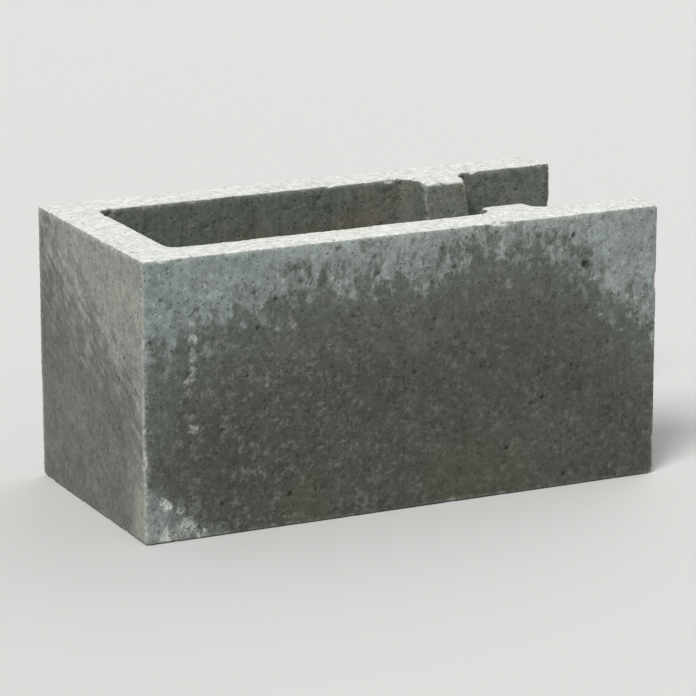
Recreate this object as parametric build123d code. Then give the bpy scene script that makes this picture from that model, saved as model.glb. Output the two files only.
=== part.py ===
from build123d import *
from math import radians, tan
import os

# Concrete formwork block with one closed end and one open end, cast as one piece.
# Its length runs along X with the closed end at -X, its face shells are at -Y and +Y,
# and it stands on its lower bed with the origin in the middle of that bed.

# Overall sizes
length = 500.0
width = 240.0
height = 250.0

# Walls, measured at the upper bed, where the cores leave them thinnest
face_shell = 40.0
end_wall = 43.0
web = 44.0
web_setback = 125.0  # open end to the middle of the web

# Cores, which lean so that the fresh block slips off them
core_draft = 0.5  # degrees from upright
wall_corner = 7.0  # radius of the upright corners beside the end wall
web_haunch = 16.0  # radius of the upright corners beside the web

# Saddle in the top of the web, a rounded trough from the long chamber to the open bay
saddle_depth = 60.0
saddle_shelf = 18.0  # level strip beside each face shell, a little past the haunch
saddle_flank = 15.0  # degrees from upright
saddle_crown = 10.0  # radius from the shelf into the flank
saddle_root = 20.0  # radius from the flank into the floor

# Radius of every sharp outward edge
arris = 2.5

# How far a cutting shape runs past the face that it opens, and how close counts as on a face
overrun = 10.0
touch = 0.01

# What follows from the sizes above
closed_end = -length / 2
open_end = length / 2
web_middle = open_end - web_setback
chamber_width = width - 2 * face_shell
core_lean = height * tan(radians(core_draft))


def core(start, end, start_radius, end_radius):
    """One core between two places along X, rounded in plan and narrower towards the lower bed."""
    plan = Pos((start + end) / 2, 0) * Rectangle(end - start, chamber_width)
    plan = fillet(plan.vertices().group_by(Axis.X)[0], start_radius)
    if end_radius:
        plan = fillet(plan.vertices().group_by(Axis.X)[-1], end_radius)
    return extrude(Pos(0, 0, height) * plan, amount=-height, taper=core_draft)


def long_chamber():
    """The closed chamber, from the end wall to the web."""
    return core(closed_end + end_wall, web_middle - web / 2, wall_corner, web_haunch)


def open_bay():
    """The bay from the web out through the open end."""
    return core(web_middle + web / 2, open_end + core_lean + overrun, web_haunch, 0)


def saddle():
    """The trough across the web, rounded over its crowns and into its roots."""
    turn = tan(radians((90 - saddle_flank) / 2))
    crown_half = chamber_width / 2 - saddle_shelf - saddle_crown * turn
    floor_half = crown_half - saddle_depth * tan(radians(saddle_flank))
    floor = height - saddle_depth
    outline = Polyline(
        (-chamber_width / 2, height + overrun),
        (-chamber_width / 2, height),
        (-crown_half, height),
        (-floor_half, floor),
        (floor_half, floor),
        (crown_half, height),
        (chamber_width / 2, height),
        (chamber_width / 2, height + overrun),
        close=True,
    )
    section = make_face(outline)
    corners = section.vertices()
    crowns = [v for v in corners if abs(v.Y - height) < touch and abs(v.X) < chamber_width / 2 - touch]
    section = fillet(crowns, saddle_crown)
    section = fillet(section.vertices().group_by(Axis.Y)[0], saddle_root)
    run = web + 2 * (core_lean + web_haunch)
    return Pos(web_middle - run / 2, 0) * extrude(Plane.YZ * section, amount=run)


def is_arris(edge):
    """Whether an edge is a sharp one of a bed or an end. The saddle's run on from the upper bed's."""
    middle = edge.center()
    on_bed = middle.Z < touch or middle.Z > height - touch
    on_end = abs(middle.X) > length / 2 - touch
    over_web = abs(middle.X - web_middle) < touch and abs(middle.Y) < chamber_width / 2
    return (on_bed or on_end) and not over_web


def formwork_block():
    """The whole cast block."""
    block = Box(length, width, height, align=(Align.CENTER, Align.CENTER, Align.MIN))
    block -= long_chamber()
    block -= open_bay()
    block -= saddle()
    return fillet(block.edges().filter_by(is_arris), arris)


os.makedirs("parts", exist_ok=True)
export_step(formwork_block(), "parts/formwork_block.step")
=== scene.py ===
import math
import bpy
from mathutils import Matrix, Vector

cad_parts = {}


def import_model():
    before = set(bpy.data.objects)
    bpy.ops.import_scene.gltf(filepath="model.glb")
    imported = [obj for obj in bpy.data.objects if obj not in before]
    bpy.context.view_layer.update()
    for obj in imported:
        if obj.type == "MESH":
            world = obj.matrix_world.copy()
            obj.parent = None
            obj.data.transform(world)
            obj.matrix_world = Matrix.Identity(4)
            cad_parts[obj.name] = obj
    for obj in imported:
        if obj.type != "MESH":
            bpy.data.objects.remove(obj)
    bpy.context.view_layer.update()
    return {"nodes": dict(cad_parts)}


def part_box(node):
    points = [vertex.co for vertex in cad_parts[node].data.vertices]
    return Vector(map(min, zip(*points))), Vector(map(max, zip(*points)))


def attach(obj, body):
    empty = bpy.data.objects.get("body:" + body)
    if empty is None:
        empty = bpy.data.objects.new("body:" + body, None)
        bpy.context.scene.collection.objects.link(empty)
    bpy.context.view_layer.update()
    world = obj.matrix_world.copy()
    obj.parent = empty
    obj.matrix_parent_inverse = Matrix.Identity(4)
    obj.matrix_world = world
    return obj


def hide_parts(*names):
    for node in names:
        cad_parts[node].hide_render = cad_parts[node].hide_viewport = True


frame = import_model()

from types import SimpleNamespace

import bmesh
import bpy
from mathutils import Vector

# The concrete block stands on its lower bed, with the closed end at -X and the shown face at -Y.
block_low, block_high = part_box("formwork_block")
length, width, height = block_high - block_low

# Mesh of the cast surface
casting_cell = 0.0014
casting_triangles = 186000

# Wear and relief of the cast surface. Radii and depths are in metres, but a chip and the arris wear
# are shares of how far the blurred shape lies inside the sharp one.
casting_sizes = {
    "Arris wear": 0.40,
    "Chip depth": 1.7,
    "Chips a metre": 48.0,
    "Pits a square metre": 420.0,
    "Smallest pit": 0.0012,
    "Largest pit": 0.0034,
    "Voids a metre": 125.0,
    "Void depth": 0.0013,
    "Grain depth": 0.00028,
    "Waviness": 0.0005,
    "Seed": 7,
}
blur_steps = 16
arris_bulge = 0.0001, 0.0006  # how far inside the blurred shape lies where wear begins and is full
full_wear = 0.0012  # the move that the mask of the wear shows in full
pit_floor = 0.35  # share of a pit's radius
pit_depth = 0.75  # share of a pit's radius

# Pits that stand out on the shown face: share of the length, share of the height, radius
known_pits = (
    (0.828, 0.920, 0.0038),
    (0.852, 0.812, 0.0046),
    (0.867, 0.762, 0.0026),
    (0.590, 0.855, 0.0028),
    (0.437, 0.925, 0.0026),
    (0.297, 0.868, 0.0030),
    (0.248, 0.817, 0.0028),
    (0.210, 0.846, 0.0032),
    (0.273, 0.114, 0.0034),
    (0.145, 0.113, 0.0026),
)

# Upper border of the damp patch: share of the length, share of the height
damp_line = (
    (0.0, 0.67), (0.10, 0.74), (0.20, 0.81), (0.28, 0.86), (0.36, 0.89), (0.44, 0.89), (0.52, 0.87),
    (0.60, 0.91), (0.68, 0.94), (0.76, 0.91), (0.84, 0.82), (0.92, 0.67), (1.0, 0.55),
)

# Upper border of the closed end's darker foot: share of the width from the hidden side, share of the height
foot_line = (
    (0.0, 0.98), (0.08, 0.94), (0.16, 0.80), (0.24, 0.77), (0.34, 0.72), (0.45, 0.69), (0.56, 0.65),
    (0.68, 0.66), (0.80, 0.58), (1.0, 0.47),
)

# Pale marks on the shown face: share of the length, share of the height, radius, strength
pale_marks = (
    (0.096, 0.765, 0.0036, 0.30),
    (0.092, 0.710, 0.0050, 0.55),
    (0.090, 0.648, 0.0044, 0.34),
    (0.091, 0.596, 0.0040, 0.42),
    (0.083, 0.562, 0.0042, 0.42),
    (0.083, 0.521, 0.0038, 0.30),
    (0.093, 0.390, 0.0046, 0.48),
    (0.151, 0.385, 0.0034, 0.19),
    (0.225, 0.532, 0.0046, 0.18),
    (0.281, 0.719, 0.0040, 0.16),
    (0.371, 0.812, 0.0044, 0.23),
    (0.700, 0.857, 0.0034, 0.15),
    (0.698, 0.772, 0.0040, 0.17),
    (0.961, 0.660, 0.0060, 0.20),
    (0.041, 0.138, 0.0050, 0.95),
    (0.067, 0.109, 0.0042, 0.60),
    (0.077, 0.051, 0.0080, 0.66),
    (0.105, 0.012, 0.0056, 0.92),
    (0.040, 0.018, 0.0066, 1.00),
)

# Olive stains low on the shown face, given in the same way
olive_stains = (
    (0.304, 0.050, 0.024, 0.45),
    (0.623, 0.069, 0.036, 0.50),
    (0.690, 0.040, 0.024, 0.40),
)

# Noises of the finish, from coarse to fine: features a metre, detail, roughness, seed
finish_noises = {
    "clouds": (9.0, 3.0, 0.55, 2.0),
    "lobes": (25.0, 3.0, 0.55, 12.0),
    "mottle": (62.0, 3.0, 0.60, 4.0),
    "crumble": (82.0, 5.0, 0.70, 17.0),
    "strokes": (170.0, 3.0, 0.60, 26.0),
    "flecks": (175.0, 3.0, 0.65, 21.0),
    "freckle": (190.0, 2.0, 0.60, 14.0),
    "drag": (190.0, 3.0, 0.60, 6.0),
    "scratches": (200.0, 4.0, 0.65, 28.0),
    "sand": (640.0, 3.0, 0.75, 1.0),
    "pin_holes": (900.0, 1.0, 0.50, 9.0),
    "dust": (1500.0, 2.0, 0.60, 3.0),
}
grains_a_metre = 210.0
pores_a_metre = 300.0

# How the crumbling border and the drag of the mould are drawn out upwards: scale along X, Y and Z
crumble_stretch = 1.0, 1.0, 0.7
drag_stretch = 1.0, 1.0, 0.045

# Strokes and scratches on the closed end: degrees that they fall towards the shown face, and their
# width as a share of their length
stroke_slope = 28
scratch_slope = 33
stroke_width = 0.14

# Pale lines beside the closed end's arrises and its pale foot: distances from the shown or the
# hidden face where they are full and where they have gone
shown_arris_line = 0.0035, 0.0075
hidden_arris_line = 0.004, 0.010
pale_foot = 0.005, 0.045

# How strongly the marks of the closed end, the wear and the painted shade of the holes show over the colour
scratch_strength = 0.60
arris_line_strength = 0.50
pale_foot_strength = 0.55
wear_strength = 0.60
hollow_shade_strength = 0.40
pore_shade_strength = 0.55

# The share of each that the upper bed, calmer than the rest, goes without
calm_of_bed = {"coarse": 0.88, "fine": 0.35, "grains": 0.50, "relief": 0.45, "wear": 2 / 3}

# Surface of the concrete
dry_roughness = 0.93
damp_shine = 0.12
specular = 0.3
bump_strength = 0.8
bump_height = 0.0008

# Camera, at the photograph's viewing angle
camera_turn = 25.9  # degrees round from the shown face towards the closed end
camera_rise = 14.8  # degrees up from level
camera_distance = 3.39
camera_target = Vector((0.0, 0.0, 0.118))
lens_length, sensor_width = 195, 36  # millimetres

# Studio
floor_reach = 30.0
floor_roughness = 0.9
world_light = 0.45


def arithmetic(operation):
    """The two methods of an operator, for a wire before it and for a wire after it."""
    def before(self, other):
        return self.board.math(operation, self, other)

    def after(self, other):
        return self.board.math(operation, other, self)

    return before, after


class Wire:
    """One output in a node tree. Arithmetic on it adds Math nodes."""

    def __init__(self, board, socket):
        self.board = board
        self.socket = socket

    __add__, __radd__ = arithmetic("ADD")
    __sub__, __rsub__ = arithmetic("SUBTRACT")
    __mul__, __rmul__ = arithmetic("MULTIPLY")
    __truediv__, __rtruediv__ = arithmetic("DIVIDE")
    __pow__, __rpow__ = arithmetic("POWER")

    def __neg__(self):
        return self * -1.0

    @property
    def swing(self):
        """A noise about its middle, from about -0.5 to 0.5."""
        return self - 0.5

    def other(self, name):
        """Another output of the same node."""
        return Wire(self.board, self.socket.node.outputs[name])


class Board:
    """A node tree, and the one way that a node comes into it."""

    def __init__(self, tree):
        self.tree = tree

    def add(self, kind, settings=None, inputs=None, out=0):
        """Adds a node: its settings first, then the values or wires of its sockets by name or place."""
        node = self.tree.nodes.new(kind)
        for name, value in (settings or {}).items():
            if name == "curve":
                self.set_curve(node, value)
            else:
                setattr(node, name, value)
        for key, value in (inputs or {}).items():
            socket = self.find(node.inputs, key)
            if isinstance(value, Wire):
                self.tree.links.new(value.socket, socket)
            else:
                socket.default_value = value
        if not node.outputs:
            return None
        return Wire(self, self.find(node.outputs, out))

    @staticmethod
    def find(sockets, key):
        """The socket in use of that name, or at that place among those in use."""
        in_use = [s for s in sockets if s.enabled]
        if isinstance(key, int):
            return in_use[key]
        return next(s for s in in_use if s.name == key)

    @staticmethod
    def set_curve(node, points):
        """The points of a float curve."""
        curve = node.mapping.curves[0]
        while len(curve.points) < len(points):
            curve.points.new(0.5, 0.5)
        for point, place in zip(curve.points, points):
            point.location = place
        node.mapping.update()

    def math(self, operation, *values):
        """Arithmetic on numbers."""
        return self.add("ShaderNodeMath", {"operation": operation}, dict(enumerate(values)))

    def vector(self, operation, *values, out=0):
        """Arithmetic on vectors."""
        return self.add("ShaderNodeVectorMath", {"operation": operation}, dict(enumerate(values)), out)

    def scaled(self, vector, amount):
        """A vector or a colour times a number."""
        return self.add("ShaderNodeVectorMath", {"operation": "SCALE"}, {0: vector, "Scale": amount})

    def between(self, value, low, high, start=0.0, end=1.0):
        """Start below low, end above high, and smooth in between."""
        inputs = {"Value": value, "From Min": low, "From Max": high, "To Min": start, "To Max": end}
        return self.add("ShaderNodeMapRange", {"interpolation_type": "SMOOTHSTEP"}, inputs)

    def fading(self, value, low, high, start=1.0):
        """Start below low, nothing above high, and smooth in between."""
        return self.between(value, low, high, start, 0.0)

    def curve(self, points, value):
        """The height of a curve through some points, at a place from 0 to 1."""
        return self.add("ShaderNodeFloatCurve", {"curve": points}, {"Factor": 1.0, "Value": value})

    def noise(self, place, scale, detail=2.0, rough=0.5, seed=0.0):
        """Noise from about 0 to 1, with its scale in features a metre."""
        moved = self.vector("ADD", place, (seed, seed * 0.7, seed * 1.3)) if seed else place
        inputs = {"Vector": moved, "Scale": scale, "Detail": detail, "Roughness": rough}
        return self.add("ShaderNodeTexNoise", {"noise_dimensions": "3D"}, inputs, "Fac")

    def bent(self, place, scale, reach):
        """The place moved about by noise, by up to about half the reach each way."""
        push = self.add("ShaderNodeTexNoise", None, {"Vector": place, "Scale": scale, "Detail": 1.0}, "Color")
        return self.vector("ADD", place, self.scaled(self.vector("SUBTRACT", push, (0.5, 0.5, 0.5)), reach))

    def mix(self, share, first, second):
        """One colour at share 0 and the other at 1."""
        return self.add("ShaderNodeMix", {"data_type": "RGBA"}, {"Factor": share, "A": first, "B": second})

    def greater(self, *values):
        """The greatest of some values."""
        found = values[0]
        for value in values[1:]:
            found = self.math("MAXIMUM", found, value)
        return found

    def split(self, vector):
        """The three numbers of a vector."""
        x = self.add("ShaderNodeSeparateXYZ", None, {"Vector": vector})
        return x, x.other("Y"), x.other("Z")

    def cells(self, place, scale):
        """Distance from the middle of the nearest of many uneven cells, and the cell's own random number."""
        inputs = {"Vector": place, "Scale": scale}
        distance = self.add("ShaderNodeTexVoronoi", {"feature": "F1"}, inputs, "Distance")
        return distance, self.add("ShaderNodeSeparateColor", None, {"Color": distance.other("Color")})


def srgb(red, green, blue):
    """A colour given in screen values from 0 to 255, as the linear colour that nodes take."""
    parts = []
    for value in (red, green, blue):
        value /= 255
        parts.append(value / 12.92 if value <= 0.04045 else ((value + 0.055) / 1.055) ** 2.4)
    return (*parts, 1.0)


# Colours of the concrete
dry_face = srgb(128, 137, 134), srgb(138, 145, 141)
closed_end_low, closed_end_high = srgb(101, 105, 97), srgb(134, 137, 129)
# The cores' walls are darker than the outside: partly their own rougher, browner concrete, partly painted
# shade of the deep cores
core_grey_and_shade, core_brown_and_shade = srgb(101, 107, 100), srgb(107, 103, 92)
lower_bed_grey = srgb(140, 143, 138)
# Painted light: the upper bed is much paler than the sides, for the light falling on it from above
upper_bed_lit_pale = srgb(199, 201, 194), srgb(207, 209, 203)
damp_grey = srgb(72, 74, 67)
fleck_grey = srgb(118, 120, 111)
mark_pale = srgb(196, 200, 192)
scratch_pale = srgb(158, 160, 151)
arris_pale = srgb(186, 188, 180)
olive = srgb(80, 80, 60)
# Painted shade in the pits, voids and pores
painted_hole_shade = srgb(46, 47, 43)

# Colour of the floor
floor_pale = srgb(196, 196, 194)


def placed(name, data):
    """A new object in the scene that holds a mesh, a lamp or a camera."""
    thing = bpy.data.objects.new(name, data)
    bpy.context.scene.collection.objects.link(thing)
    return thing


def aim(thing, source):
    """Turns a lamp or a camera to look back from the direction that it lies in."""
    thing.rotation_euler = (-source).to_track_quat("-Z", "Y").to_euler()


def on_shown_face(across, up):
    """A point of the shown face, given as shares of its length and height."""
    return block_low.x + across * length, block_low.y, up * height


def closed_copy(node, name):
    """A new object with a copy of a CAD node's mesh, its loose triangles merged."""
    mesh = node.data.copy()
    mesh.name = name
    mesh.materials.clear()
    for attribute in [a.name for a in mesh.attributes if not a.is_required and not a.is_internal]:
        mesh.attributes.remove(mesh.attributes[attribute])
    form = bmesh.new()
    form.from_mesh(mesh)
    bmesh.ops.remove_doubles(form, verts=form.verts, dist=1e-6)
    form.to_mesh(mesh)
    form.free()
    return placed(name, mesh)


def worn_arrises(board, given, place, normal):
    """The move that wears the arrises, and a mask of the wear. A blurred copy of the shape lies inside
    it at an arris, and the worn edge moves towards it, further where a chip has gone."""
    blurred = board.add(
        "GeometryNodeBlurAttribute", {"data_type": "FLOAT_VECTOR"}, {"Value": place, "Iterations": blur_steps}
    )
    inwards = board.vector("SUBTRACT", blurred, place)
    bulge = -board.vector("DOT_PRODUCT", inwards, normal, out="Value")
    flakes = board.noise(place, given.other("Chips a metre"), detail=3.0, rough=0.6, seed=3.1)
    chip = board.between(flakes, 0.56, 0.70)
    nibble = board.noise(place, 240.0, rough=0.6, seed=8.3)
    share = given.other("Arris wear") * (0.2 + 1.6 * nibble) + given.other("Chip depth") * chip
    share = share * board.between(bulge, *arris_bulge)
    return board.scaled(inwards, share), board.between(share * bulge, 0.0, full_wear)


def strewn_pits(board, given, geometry):
    """A point for each pit, with the pit's radius: some strewn by chance and a few at known places."""
    smallest, largest = given.other("Smallest pit"), given.other("Largest pit")
    seed = given.other("Seed")
    chance = board.add("FunctionNodeRandomValue", {"data_type": "FLOAT"}, {"Seed": seed}, "Value")
    strewn = board.add(
        "GeometryNodeDistributePointsOnFaces",
        {"distribute_method": "RANDOM"},
        {"Mesh": geometry, "Density": given.other("Pits a square metre"), "Seed": seed},
        "Points",
    )
    radius = smallest + (largest - smallest) * chance ** 3.0
    sources = [board.add("GeometryNodeSetPointRadius", None, {"Points": strewn, "Radius": radius})]
    for across, up, pit_radius in known_pits:
        spot = {"Count": 1, "Position": on_shown_face(across, up), "Radius": pit_radius}
        sources.append(board.add("GeometryNodePoints", None, spot))
    joined = board.add("GeometryNodeJoinGeometry")
    for source in sources:
        board.tree.links.new(source.socket, joined.socket.node.inputs[0])
    return joined


def pit_bowls(board, pits, place):
    """A mask of the pits and their depth. Each point of the skin takes the nearest pit, with a bent rim."""
    bent = board.bent(place, scale=330.0, reach=0.0046)
    nearest = board.add(
        "GeometryNodeSampleNearest", {"domain": "POINT"}, {"Geometry": pits, "Sample Position": bent}
    )

    def of_nearest(kind, value):
        settings = {"data_type": kind, "domain": "POINT"}
        inputs = {"Geometry": pits, "Index": nearest, "Value": board.add(value)}
        return board.add("GeometryNodeSampleIndex", settings, inputs)

    middle = of_nearest("FLOAT_VECTOR", "GeometryNodeInputPosition")
    radius = of_nearest("FLOAT", "GeometryNodeInputRadius")
    away = board.vector("DISTANCE", bent, middle, out="Value")
    bowl = board.fading(away / radius, pit_floor, 1.0)
    return bowl, bowl * radius * pit_depth


def ragged_voids(board, given, place):
    """A mask of the ragged voids between the grains, which come in loose clusters."""
    cluster = board.between(board.noise(place, 15.0, seed=19.0), 0.42, 0.62)
    gaps = board.noise(place, given.other("Voids a metre"), detail=4.0, rough=0.62, seed=11.0)
    return board.between(gaps + 0.06 * cluster, 0.66, 0.74)


def rough_skin(board, given, place):
    """How far sand and slow waves lie below the mould's face, and never past it."""
    grain = board.fading(board.noise(place, 420.0, detail=3.0, rough=0.65, seed=5.5), 0.3, 0.75)
    wave = board.between(board.noise(place, 11.0, seed=2.2), 0.3, 0.7)
    return given.other("Grain depth") * grain + given.other("Waviness") * wave


def casting_tree(material):
    """The node tree that wears the arrises, opens pits and voids and roughens the skin of the casting."""
    tree = bpy.data.node_groups.new("cast_surface", "GeometryNodeTree")
    tree.is_modifier = True
    tree.interface.new_socket("Geometry", in_out="INPUT", socket_type="NodeSocketGeometry")
    for name, value in casting_sizes.items():
        kind = "NodeSocketInt" if isinstance(value, int) else "NodeSocketFloat"
        tree.interface.new_socket(name, in_out="INPUT", socket_type=kind)
    tree.interface.new_socket("Geometry", in_out="OUTPUT", socket_type="NodeSocketGeometry")

    board = Board(tree)
    given = board.add("NodeGroupInput")
    geometry = given.other("Geometry")
    place = board.add("GeometryNodeInputPosition")
    normal = board.add("GeometryNodeInputNormal")

    worn, wear = worn_arrises(board, given, place, normal)
    bowl, bowl_depth = pit_bowls(board, strewn_pits(board, given, geometry), place)
    void = ragged_voids(board, given, place)
    hollow = board.greater(bowl, 0.8 * void)
    hollow_depth = board.greater(bowl_depth, given.other("Void depth") * void)
    sunk = board.scaled(normal, -(hollow_depth + rough_skin(board, given, place)))

    for name, value in (("hollow", hollow), ("wear", wear)):
        geometry = board.add(
            "GeometryNodeStoreNamedAttribute",
            {"data_type": "FLOAT", "domain": "POINT"},
            {"Geometry": geometry, "Name": name, "Value": value},
        )
    geometry = board.add(
        "GeometryNodeSetPosition", None, {"Geometry": geometry, "Offset": board.vector("ADD", worn, sunk)}
    )
    geometry = board.add("GeometryNodeRealizeInstances", None, {"Geometry": geometry})
    geometry = board.add("GeometryNodeSetMaterial", None, {"Geometry": geometry, "Material": material})
    board.add("NodeGroupOutput", None, {"Geometry": geometry})
    return tree


def set_inputs(modifier, values):
    """Sets the inputs of a Geometry Nodes modifier, which it knows by the sockets' identifiers."""
    for socket in modifier.node_group.interface.items_tree:
        if socket.name in values:
            modifier[socket.identifier] = values[socket.name]


def applied(piece):
    """Turns the piece's modifiers into its own plain mesh, and counts its triangles."""
    graph = bpy.context.evaluated_depsgraph_get()
    mesh = bpy.data.meshes.new_from_object(piece.evaluated_get(graph), depsgraph=graph)
    piece.modifiers.clear()
    piece.data = mesh
    mesh.name = piece.name
    mesh.calc_loop_triangles()
    return len(mesh.loop_triangles)


def cast_block(material):
    """The whole block, as cast and knocked about."""
    piece = closed_copy(frame["nodes"]["formwork_block"], "concrete_block")
    remesh = piece.modifiers.new("even cells", "REMESH")
    remesh.mode = "VOXEL"
    remesh.voxel_size = casting_cell
    surface = piece.modifiers.new("cast surface", "NODES")
    surface.node_group = casting_tree(material)
    set_inputs(surface, casting_sizes)
    cast_count = applied(piece)
    thin = piece.modifiers.new("thin out the flats", "DECIMATE")
    thin.ratio = casting_triangles / cast_count
    thinned_count = applied(piece)
    print("cast surface:", cast_count, "triangles, thinned to", thinned_count)
    piece.data.polygons.foreach_set("use_smooth", [True] * len(piece.data.polygons))
    return piece


def side_mask(board, facing, place, side, depth=(0.020, 0.015), turned=(0.4, 0.8)):
    """A mask of the skin that is turned to one side of the block and lies near that side. It is nothing
    at the first depth and full at the second, and so with how far the skin is turned."""
    near = board.between(place, side - depth[0], side - depth[1])
    return board.between(facing, *turned) * near


def sides_of_block(board):
    """Places on the block, and a mask for each of its sides."""
    place = board.add("ShaderNodeTexCoord", None, None, "Object")
    x, y, z = board.split(place)
    facing_x, facing_y, facing_z = board.split(board.add("ShaderNodeNewGeometry", None, None, "Normal"))
    shown_face = side_mask(board, -facing_y, -y, width / 2)
    hidden_face = side_mask(board, facing_y, y, width / 2)
    closed_end = side_mask(board, -facing_x, -x, length / 2)
    open_end = side_mask(board, facing_x, x, length / 2)
    upper_bed = side_mask(board, facing_z, z, height, depth=(0.014, 0.007), turned=(0.50, 0.80))
    lower_bed = side_mask(board, -facing_z, -z, 0.0, depth=(0.010, 0.005), turned=(0.55, 0.85))
    outside = board.greater(shown_face, hidden_face, closed_end, open_end, upper_bed, lower_bed)
    return SimpleNamespace(
        place=place, x=x, y=y, along=(x + length / 2) / length, up=z / height,
        from_shown=y + width / 2, from_hidden=width / 2 - y,
        shown_face=shown_face, closed_end=closed_end, upper_bed=upper_bed, lower_bed=lower_bed,
        core_wall=1.0 - outside,
    )


def calmer(on, what):
    """A factor that is 1 all over, but less on the upper bed."""
    return 1.0 - calm_of_bed[what] * on.upper_bed


def along_strokes(board, on, slope):
    """Places drawn out along strokes on the closed end, which fall by the slope towards the shown face."""
    fall, level = math.sin(math.radians(slope)), math.cos(math.radians(slope))
    along = board.vector("DOT_PRODUCT", on.place, (0.0, -level, -fall), out="Value")
    across = board.vector("DOT_PRODUCT", on.place, (0.0, -fall, level), out="Value")
    return board.add("ShaderNodeCombineXYZ", None, {"X": on.x, "Y": across, "Z": stroke_width * along})


def grit_of_concrete(board, on):
    """The noises of the finish by name, some of them drawn out."""
    drawn_out = {
        "crumble": board.vector("MULTIPLY", on.place, crumble_stretch),
        "drag": board.vector("MULTIPLY", on.place, drag_stretch),
        "strokes": along_strokes(board, on, stroke_slope),
        "scratches": along_strokes(board, on, scratch_slope),
    }
    return SimpleNamespace(**{
        name: board.noise(drawn_out.get(name, on.place), *sizes) for name, sizes in finish_noises.items()
    })


def aggregate(board, on, grit):
    """Masks of pale and dark grains at the skin, and of the small open pores between them."""
    bent = board.bent(on.place, scale=300.0, reach=0.003)
    grain_away, grain_chance = board.cells(bent, grains_a_metre)
    grain = board.fading(grain_away, 0.22, 0.55)
    pale_grain = grain * board.between(grain_chance, 0.78, 0.84)
    dark_grain = grain * board.fading(grain_chance, 0.16, 0.22)
    pore_away, pore_chance = board.cells(bent, pores_a_metre)
    pore = board.fading(pore_away, 0.16, 0.36) * board.between(pore_chance, 0.76, 0.82)
    pin_hole = board.between(grit.pin_holes, 0.68, 0.75)
    return pale_grain, dark_grain, board.greater(pore, 0.7 * pin_hole)


def damp_patch(board, on, grit):
    """How damp the shown face is: below a line along it, with a crumbling border, darker further down,
    a little drier beside the closed end, and dry in the lower corner there."""
    depth = board.curve(damp_line, on.along) - on.up + 0.26 * grit.lobes.swing
    crumbled = depth + 0.90 * grit.crumble.swing
    damp = 0.80 * board.between(crumbled, -0.09, 0.09) + 0.20 * board.between(depth, 0.0, 0.45)
    beside_end = board.between(on.along + 0.15 * grit.lobes.swing, -0.01, 0.07, start=0.78)
    from_corner = on.along + 0.65 * on.up + 0.40 * grit.crumble.swing
    return damp * on.shown_face * beside_end * board.between(from_corner, 0.06, 0.18, start=0.05)


def dry_colour(board, on, grit):
    """Colours of the dry sides, with painted shade in the cores' walls and painted light on the upper bed."""
    cloudy = board.between(grit.clouds + 0.30 * (on.along - 0.6), 0.35, 0.65)
    colour = board.mix(cloudy, *dry_face)

    foot = board.curve(foot_line, on.from_hidden / width)
    ragged = 0.30 * grit.lobes.swing + 0.35 * grit.mottle.swing + 0.55 * grit.strokes.swing
    above_foot = board.between(on.up - foot + ragged, -0.16, 0.17)
    colour = board.mix(on.closed_end, colour, board.mix(above_foot, closed_end_low, closed_end_high))

    dirt = board.between(grit.clouds + 0.5 * grit.lobes.swing - 0.35 * (on.up - 0.8), 0.40, 0.66)
    # Painted shade: the cores' walls take darker colours, partly their own and partly shade painted in
    colour = board.mix(on.core_wall, colour, board.mix(dirt, core_grey_and_shade, core_brown_and_shade))
    colour = board.mix(on.lower_bed, colour, lower_bed_grey)

    patchy = board.between(0.6 * grit.freckle + 0.4 * grit.mottle, 0.38, 0.62)
    # Painted light: the upper bed takes pale colours, as if lit from above
    return board.mix(on.upper_bed, colour, board.mix(patchy, *upper_bed_lit_pale))


def spread_marks(board, on, place, marks):
    """A mask of soft marks on the shown face, each with its place, radius and strength."""
    mask = 0.0
    for across, up, radius, strength in marks:
        away = board.vector("DISTANCE", place, on_shown_face(across, up), out="Value")
        mask = board.greater(mask, board.fading(away / radius, 0.5, 1.4, strength))
    return mask * on.shown_face


def marks_of_shown_face(board, on, grit, damp, colour):
    """Pale flecks in the damp patch, the olive stains low down, and the pale marks over all."""
    strength = board.between(on.along, 0.25, 0.60, start=0.64, end=0.34)
    fleck = board.between(grit.flecks, 0.51, 0.70) * damp * strength
    colour = board.mix(fleck, colour, fleck_grey)
    stain = spread_marks(board, on, board.bent(on.place, scale=45.0, reach=0.05), olive_stains)
    colour = board.mix(stain, colour, olive)
    frayed = board.bent(board.bent(on.place, scale=230.0, reach=0.010), scale=620.0, reach=0.0065)
    uneven = board.between(grit.freckle + 0.6 * grit.sand.swing, 0.36, 0.58, start=0.40)
    return board.mix(spread_marks(board, on, frayed, pale_marks) * uneven, colour, mark_pale)


def marks_of_closed_end(board, on, grit, colour):
    """Scratches that slant over the closed end, a pale line beside its arrises, and its pale front foot."""
    scratch = board.between(grit.scratches, 0.54, 0.68) * board.between(grit.lobes, 0.40, 0.56)
    scratch = scratch * board.between(on.up - 0.9 * on.y, 0.40, 0.62) * board.fading(on.up, 0.85, 0.99)
    shown_line = board.fading(on.from_shown, *shown_arris_line)
    shown_line = shown_line * board.fading(on.up + 0.3 * grit.lobes.swing, 0.45, 0.62)
    line = board.greater(shown_line, board.fading(on.from_hidden, *hidden_arris_line))
    foot = board.fading(on.from_shown - 0.02 * grit.mottle.swing, *pale_foot)
    foot = foot * board.fading(on.up, 0.05, 0.45)
    pale = board.greater(
        scratch * scratch_strength, line * arris_line_strength, foot * pale_foot_strength
    )
    return board.mix(pale * on.closed_end, colour, scratch_pale)


def tone_of_grit(on, grit, pale_grain, dark_grain):
    """How much lighter or darker the grit makes the colour, about 1, and less so on the upper bed."""
    coarse = 0.35 * grit.clouds.swing + 0.30 * grit.lobes.swing + 0.72 * grit.mottle.swing
    dragged = (0.14 + 0.5 * on.core_wall) * grit.drag.swing + 0.40 * on.closed_end * grit.strokes.swing
    fine = 0.88 * grit.freckle.swing + dragged + 0.85 * grit.sand.swing
    grains = 0.26 * pale_grain - 0.22 * dark_grain
    return 1.0 + coarse * calmer(on, "coarse") + fine * calmer(on, "fine") + grains * calmer(on, "grains")


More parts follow.
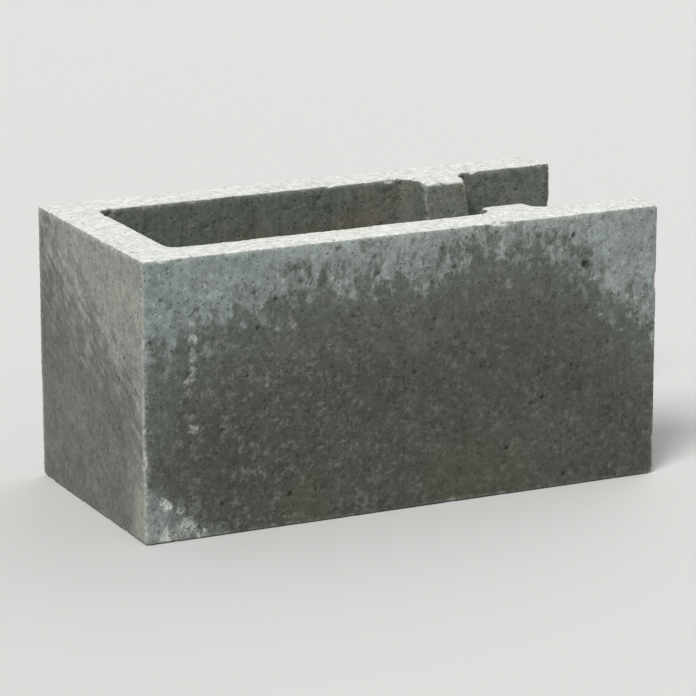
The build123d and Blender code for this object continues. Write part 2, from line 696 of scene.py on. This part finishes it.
def relief_of_grit(on, grit, pale_grain, pore):
    """Height of the sand, dust, drag marks, grains and pores, lower on the upper bed."""
    sandy = 0.8 * grit.sand + 0.5 * grit.dust + 0.3 * grit.freckle
    dragged = (0.2 + 0.8 * on.core_wall) * grit.drag
    return (sandy + dragged + 0.3 * pale_grain - 1.3 * pore) * calmer(on, "relief")


def concrete():
    """Dry grey concrete with pale beds, the upper one painted light, painted shade in the cores and holes,
    and with the damp patch of the shown face.
    """
    material = bpy.data.materials.new("weathered_concrete")
    material.use_nodes = True
    material.node_tree.nodes.clear()
    board = Board(material.node_tree)
    on = sides_of_block(board)
    grit = grit_of_concrete(board, on)
    pale_grain, dark_grain, pore = aggregate(board, on, grit)
    damp = damp_patch(board, on, grit)

    colour = board.mix(damp, dry_colour(board, on, grit), damp_grey)
    colour = marks_of_shown_face(board, on, grit, damp, colour)
    colour = marks_of_closed_end(board, on, grit, colour)
    tone = tone_of_grit(on, grit, pale_grain, dark_grain)
    colour = board.scaled(colour, tone)

    # Fresh pale concrete on worn arrises, and painted shade in the pits, voids and pores
    worn = board.add("ShaderNodeAttribute", {"attribute_name": "wear"}, None, "Fac")
    fresh = board.scaled(arris_pale[:3], tone)
    colour = board.mix(worn * wear_strength * calmer(on, "wear"), colour, fresh)
    hollow = board.add("ShaderNodeAttribute", {"attribute_name": "hollow"}, None, "Fac")
    hole_shade = board.greater(hollow * hollow_shade_strength, pore * pore_shade_strength)
    colour = board.mix(hole_shade, colour, painted_hole_shade)

    relief = relief_of_grit(on, grit, pale_grain, pore)
    bump = board.add(
        "ShaderNodeBump", None, {"Strength": bump_strength, "Distance": bump_height, "Height": relief}
    )
    roughness = dry_roughness - damp_shine * damp
    finish = board.add(
        "ShaderNodeBsdfPrincipled", None,
        {"Base Color": colour, "Roughness": roughness, "Normal": bump, "Specular IOR Level": specular},
    )
    board.add("ShaderNodeOutputMaterial", None, {"Surface": finish})
    return material


def studio_camera():
    """The camera, which looks down a little at the shown face and the closed end."""
    azimuth, elevation = math.radians(-90 - camera_turn), math.radians(camera_rise)
    direction = Vector((
        math.cos(azimuth) * math.cos(elevation), math.sin(azimuth) * math.cos(elevation), math.sin(elevation)
    ))
    lens = bpy.data.cameras.new("camera")
    lens.lens = lens_length
    lens.sensor_width = sensor_width
    camera = placed("camera", lens)
    camera.location = camera_target + direction * camera_distance
    aim(camera, direction)
    return camera


def studio_floor():
    """A wide pale floor."""
    corners = [(x * floor_reach, y * floor_reach, 0) for x, y in ((-1, -1), (1, -1), (1, 1), (-1, 1))]
    mesh = bpy.data.meshes.new("floor")
    mesh.from_pydata(corners, [], [(0, 1, 2, 3)])
    material = bpy.data.materials.new("pale_floor")
    material.use_nodes = True
    sockets = material.node_tree.nodes["Principled BSDF"].inputs
    sockets["Base Color"].default_value = floor_pale
    sockets["Roughness"].default_value = floor_roughness
    mesh.materials.append(material)
    return placed("floor", mesh)


def soft_sun(name, source, angle, strength):
    """A soft distant lamp that shines from one side on the whole scene."""
    lamp = bpy.data.lights.new(name, "SUN")
    lamp.angle = math.radians(angle)
    lamp.energy = strength
    aim(placed(name, lamp), Vector(source))


def studio_world():
    """Soft grey light, white where the camera or a reflection sees it."""
    world = bpy.data.worlds.new("studio")
    world.use_nodes = True
    world.node_tree.nodes.clear()
    sky = Board(world.node_tree)
    path = sky.add("ShaderNodeLightPath", None, None, "Is Camera Ray")
    seen = sky.greater(path, path.other("Is Glossy Ray"), path.other("Is Transmission Ray"))
    light = sky.add("ShaderNodeBackground", None, {"Color": (1, 1, 1, 1), "Strength": world_light})
    white = sky.add("ShaderNodeBackground", None, {"Color": (1, 1, 1, 1), "Strength": 1.0})
    mixed = sky.add("ShaderNodeMixShader", None, {0: seen, 1: light, 2: white})
    sky.add("ShaderNodeOutputWorld", None, {"Surface": mixed})
    return world


block = cast_block(concrete())
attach(block, "root")
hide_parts("formwork_block")

bpy.context.scene.camera = studio_camera()
floor = studio_floor()
soft_sun("key_lamp", source=(-0.55, -0.45, 0.80), angle=24, strength=2.9)
soft_sun("fill_lamp", source=(0.75, 0.50, 0.60), angle=60, strength=0.9)
bpy.context.scene.world = studio_world()
bpy.context.scene.view_settings.view_transform = "Standard"
